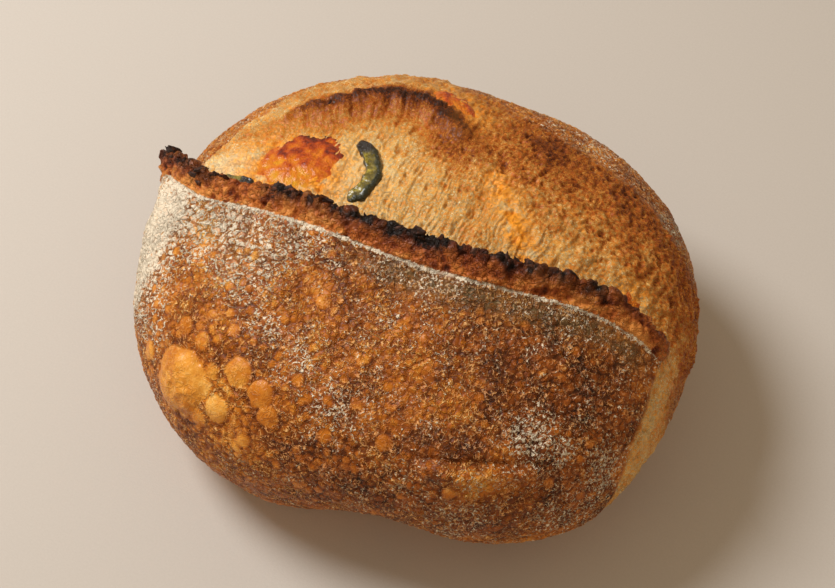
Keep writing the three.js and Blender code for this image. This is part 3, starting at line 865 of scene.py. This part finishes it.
# lambda, phi, reach at equal turns in mm, turn of the first reach in degrees, proud, depth
CHEESES = {
    "cheese_patch": (-47, 188.5, (20, 16, 11, 10, 12, 12, 13, 15), 40, 1.7, 3),
    "cheese_back": (-8, 229, (11, 7, 4.5, 6, 11, 7, 4.5, 6), -18, 1.0, 2.5),
    "cheese_bit": (63, 193, (5, 4, 3, 4), 20, 0.9, 2),
}
# lambda, phi, ring radius, from and to in degrees, width, thickness, sink
JALAPENOS = {
    "jalapeno_slice": (-34, 190, 13.4, -52, 76, 6.0, 3.8, 1.1),
    "jalapeno_sliver": (-56.5, 191.5, 14, -116, -68, 4, 4, 0.3),
}
CHEESE_RINGS = 64
CHEESE_SIDES = 200
JALAPENO_RINGS = 120
JALAPENO_SIDES = 40


def place_near(lam, phi, along, across):
    """lambda and phi of a spot some mm along and across the ear from another."""
    reach = spot_point(lam, phi) - [0, 0, WAIST_HEIGHT]
    girth = math.hypot(reach[1], reach[2])
    return lam + np.degrees(along / np.linalg.norm(reach)), phi + np.degrees(across / girth)


def cheese_reach(name, reaches, angle):
    """Ragged reach of a blob of cheese from its middle, in each direction."""
    spokes = len(reaches)
    spoke = angle / (2 * np.pi) * spokes
    low = np.floor(spoke).astype(int) % spokes
    share = smoothstep(0, 1, spoke - np.floor(spoke))
    reach = np.array(reaches)[low] * (1 - share) + np.array(reaches)[(low + 1) % spokes] * share
    circle = np.stack([np.cos(angle) * 12, np.sin(angle) * 12, np.full(len(angle), 5.0)], 1)
    return reach * (1 + 0.16 * noise(circle, 6, 3, len(name)))


def make_cheese(name, lam, phi, reaches, turn, proud, depth):
    """A melted blob, in rings that run out along its underside and back over its top."""
    angle = 2 * np.pi * np.arange(CHEESE_SIDES) / CHEESE_SIDES
    share = np.linspace(0.02, 0.98, CHEESE_RINGS)[:, None]
    ring = np.sin(share * np.pi)
    reach = ring * cheese_reach(name, reaches, angle)
    along = reach * np.cos(angle + math.radians(turn))
    across = reach * np.sin(angle + math.radians(turn))
    spot_lam, spot_phi = place_near(lam, phi, along, across)
    form = Form(spot_lam, spot_phi, ragged=False)
    lumps = form.layer(7, 3, 71)
    folds = form.layer(4.5, 3, 72, True)
    relief = 1.1 * lumps + 0.5 * folds + 0.25 * form.layer(2.2, 2, 74, True)
    top = (proud + 0.8) * (1 - ring ** 4) ** 0.6 - 0.5 + relief * (1 - ring ** 5)
    bottom = -depth * np.sqrt(1 - ring ** 4 * 0.999)
    height = np.where(share > 0.5, top, bottom)
    points = form.point + direction_of(spot_lam, spot_phi) * height[..., None]
    toast = 0.42 + 0.4 * lumps + 0.3 * folds + 0.36 * np.clip(across / 12, -0.5, 1.2)
    maps = {"toast": with_tips(toast, tip_average(toast))}
    faces = ring_faces(CHEESE_RINGS, CHEESE_SIDES)
    return make_object(name, with_tips(points, tip_average(points)), faces, maps)


def rounded_square(wave, power):
    """A sine or cosine, flattened towards a square wave."""
    return np.sign(wave) * np.abs(wave) ** power


def make_jalapeno(name, lam, phi, radius, start, end, width, thickness, sink):
    """A piece of a jalapeno ring that lies on the crumb, in rings from one end to the other."""
    share = np.linspace(0, 1, JALAPENO_RINGS)[:, None]
    angle = np.radians(start + (end - start) * share)
    around = -2 * np.pi * np.arange(JALAPENO_SIDES) / JALAPENO_SIDES
    taper = 0.2 + 0.8 * np.sqrt(np.clip(1 - (2 * share - 1) ** 6, 0, 1))
    side = rounded_square(np.cos(around), 0.5)
    rise = rounded_square(np.sin(around), 0.6)
    wander = share * [30, 0, 0]
    sway = noise(wander, 8, 2, len(name))[:, None]
    pinch = 1 + 0.22 * noise(wander + 50, 5, 2, len(name))[:, None]
    reach = radius + 0.9 * sway + width / 2 * taper * side * pinch
    height = thickness / 2 * taper * rise + thickness / 2 - sink
    spot_lam, spot_phi = place_near(lam, phi, reach * np.cos(angle), reach * np.sin(angle))
    outward = direction_of(spot_lam, spot_phi)
    points = Form(spot_lam, spot_phi, ragged=False).point + outward * height[..., None]
    lumps = noise(points.reshape(-1, 3), 2.8, 3, 73).reshape(spot_lam.shape)
    groove = np.exp(-((side + 0.2) / 0.45) ** 2) * (rise > 0) * taper
    dents = grid_normals(points) * (0.5 * lumps)[..., None]
    points = points - dents - outward * (0.5 * groove)[..., None]
    peel = smoothstep(0.3, 0.5, side + 0.25 * lumps)
    burnt = smoothstep(0.7, 0.86, share + 0.1 * lumps) + 0.7 * smoothstep(0.07, 0.0, share)
    burnt = np.clip(burnt + 0.85 * smoothstep(-0.72, -0.9, side - 0.1 * lumps), 0, 1)
    maps = {"peel": with_tips(peel, tip_average(peel)), "burnt": with_tips(burnt, tip_average(burnt))}
    faces = ring_faces(JALAPENO_RINGS, JALAPENO_SIDES)
    return make_object(name, with_tips(points, tip_average(points)), faces, maps)


# ---- charred crumbs along the ear -------------------------------------------------------------------

EAR_CRUMBS = 210
RIDGE_CRUMBS = 40
# lambda, spread, share
CRUMB_CLUSTERS = [(-71, 4, 0.16), (-60, 4, 0.05), (-42, 3, 0.12), (-30, 8, 0.16), (-5, 12, 0.2),
                  (14, 5, 0.1), (33, 4, 0.08), (47, 6, 0.07)]


def ball_mesh():
    """Points and faces of a ball of radius 1."""
    mesh = bmesh.new()
    bmesh.ops.create_icosphere(mesh, subdivisions=3, radius=1.0)
    mesh.verts.ensure_lookup_table()
    points = np.array([vert.co[:] for vert in mesh.verts])
    faces = np.array([[vert.index for vert in face.verts] for face in mesh.faces])
    mesh.free()
    return points, faces


def crumb_places():
    """lambda, phi and size in mm of each crumb."""
    middles, spreads, shares = np.array(CRUMB_CLUSTERS).T
    for _ in range(EAR_CRUMBS):
        cluster = random.choice(len(shares), p=shares / shares.sum())
        lam = random.normal(middles[cluster], spreads[cluster])
        behind = random.normal(1.0, 1.2)
        phi = curve_through(CUT_LINE, lam) + math.degrees(behind / girth_at(np.array([lam]))[0])
        yield lam, phi, 0.35 + 1.1 * random.random() ** 2.5
    for _ in range(RIDGE_CRUMBS):
        lam = random.uniform(-42, -16)
        yield lam, curve_through(RIDGE_LINE, lam) + random.normal(-0.5, 0.4), random.uniform(0.25, 0.65)


def make_crumbs():
    """Small burnt lumps and points that stand on the crests of the ear and the back ridge."""
    ball, ball_faces = ball_mesh()
    points, faces = [], []
    for number, (lam, phi, size) in enumerate(crumb_places()):
        lam, phi = np.array([lam]), np.array([phi])
        form = Form(lam, phi)
        stretch = np.array([random.uniform(0.8, 2.4), random.uniform(0.3, 0.9), random.uniform(0.7, 2.6)])
        rough = 1 + 0.8 * noise(ball + 9 * number, 1.1, 3, seed=7, ridged=True)
        point_up = 1 - 0.6 * smoothstep(-0.2, 1, ball[:, 2:]) * [1, 1, 0]
        shape = ball * rough[:, None] * point_up * stretch * size * 0.8
        along, across, up = skin_frame(lam, phi)
        tilt = random.normal(0, 0.5, 2)
        up = unit(up + tilt[0] * along + tilt[1] * across)
        across = unit(np.cross(up, along))
        along = np.cross(across, up)
        middle = form.point[0] + up[0] * size * stretch[2] * 0.1
        faces.append(ball_faces + len(ball) * number)
        points.append(middle + shape @ np.concatenate([along, across, up]))
    return make_object("ear_char", np.concatenate(points), [np.concatenate(faces)])


# ---- the scene --------------------------------------------------------------------------------------

CAMERA_AZIMUTH = 24.4
CAMERA_ELEVATION = 55.0
CAMERA_DISTANCE = 0.744
CAMERA_AIM = Vector((0.0008, 0.0018, 0.0462))
CAMERA_LENS = 85.0
# azimuth, elevation, distance, size, power, colour
LIGHTS = {
    "key": (-92, 54, 1.2, 0.5, 12.2, (0.97, 0.98, 1.0)),
    "fill": (40, 40, 1.6, 1.2, 1.5, (1.0, 0.93, 0.84)),
}
WORLD_COLOUR = (1.0, 0.78, 0.53, 1)
WORLD_STRENGTH = 0.38
TABLE_SIDE = 3.0


def towards(azimuth, elevation):
    """Unit vector from the loaf, with azimuth 0 straight ahead of it and 90 at its right."""
    a, e = math.radians(azimuth), math.radians(elevation)
    return Vector((math.sin(a) * math.cos(e), -math.cos(a) * math.cos(e), math.sin(e)))


def make_camera():
    data = bpy.data.cameras.new("camera")
    data.lens = CAMERA_LENS
    data.clip_start = 0.01
    camera = bpy.data.objects.new("camera", data)
    back = towards(CAMERA_AZIMUTH, CAMERA_ELEVATION)
    camera.location = CAMERA_AIM + back * CAMERA_DISTANCE
    camera.rotation_mode = "QUATERNION"
    camera.rotation_quaternion = (-back).to_track_quat("-Z", "Y")
    bpy.context.scene.collection.objects.link(camera)
    bpy.context.scene.camera = camera


def make_light(name, azimuth, elevation, distance, size, power, colour):
    data = bpy.data.lights.new(name, "AREA")
    data.shape = "DISK"
    data.size = size
    data.energy = power
    data.color = colour
    light = bpy.data.objects.new(name, data)
    back = towards(azimuth, elevation)
    light.location = back * distance
    light.rotation_mode = "QUATERNION"
    light.rotation_quaternion = (-back).to_track_quat("-Z", "Y")
    bpy.context.scene.collection.objects.link(light)


def make_world():
    world = bpy.data.worlds.new("soft studio")
    world.use_nodes = True
    background = world.node_tree.nodes["Background"]
    background.inputs["Color"].default_value = WORLD_COLOUR
    background.inputs["Strength"].default_value = WORLD_STRENGTH
    bpy.context.scene.world = world
    bpy.context.scene.view_settings.view_transform = "Standard"


def make_table():
    line = np.linspace(-TABLE_SIDE / 2, TABLE_SIDE / 2, 3) / MM
    across, along = np.meshgrid(line, line)
    points = np.stack([across.ravel(), along.ravel(), 0 * along.ravel()], 1)
    corner = np.arange(len(points)).reshape(across.shape)
    quads = np.stack([corner[:-1, :-1], corner[:-1, 1:], corner[1:, 1:], corner[1:, :-1]], -1)
    table = make_object("table", points - FRAME_SHIFT, [quads.reshape(-1, 4)])
    table.data.materials.append(table_material())


def dress(piece, node, material):
    """Puts a piece in place of its CAD node."""
    piece.data.materials.append(material)
    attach(piece, "root")
    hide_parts(node)


make_camera()
make_world()
for name, facts in LIGHTS.items():
    make_light(name, *facts)
make_table()

crust = crust_material()
dress(make_loaf(), "loaf", crust)

char = make_crumbs()
char.data.materials.append(char_material())
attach(char, "root")

cheese = cheese_material()
for name, facts in CHEESES.items():
    dress(make_cheese(name + "_melt", *facts), name, cheese)

jalapeno = jalapeno_material()
for name, facts in JALAPENOS.items():
    dress(make_jalapeno(name + "_roast", *facts), name, jalapeno)
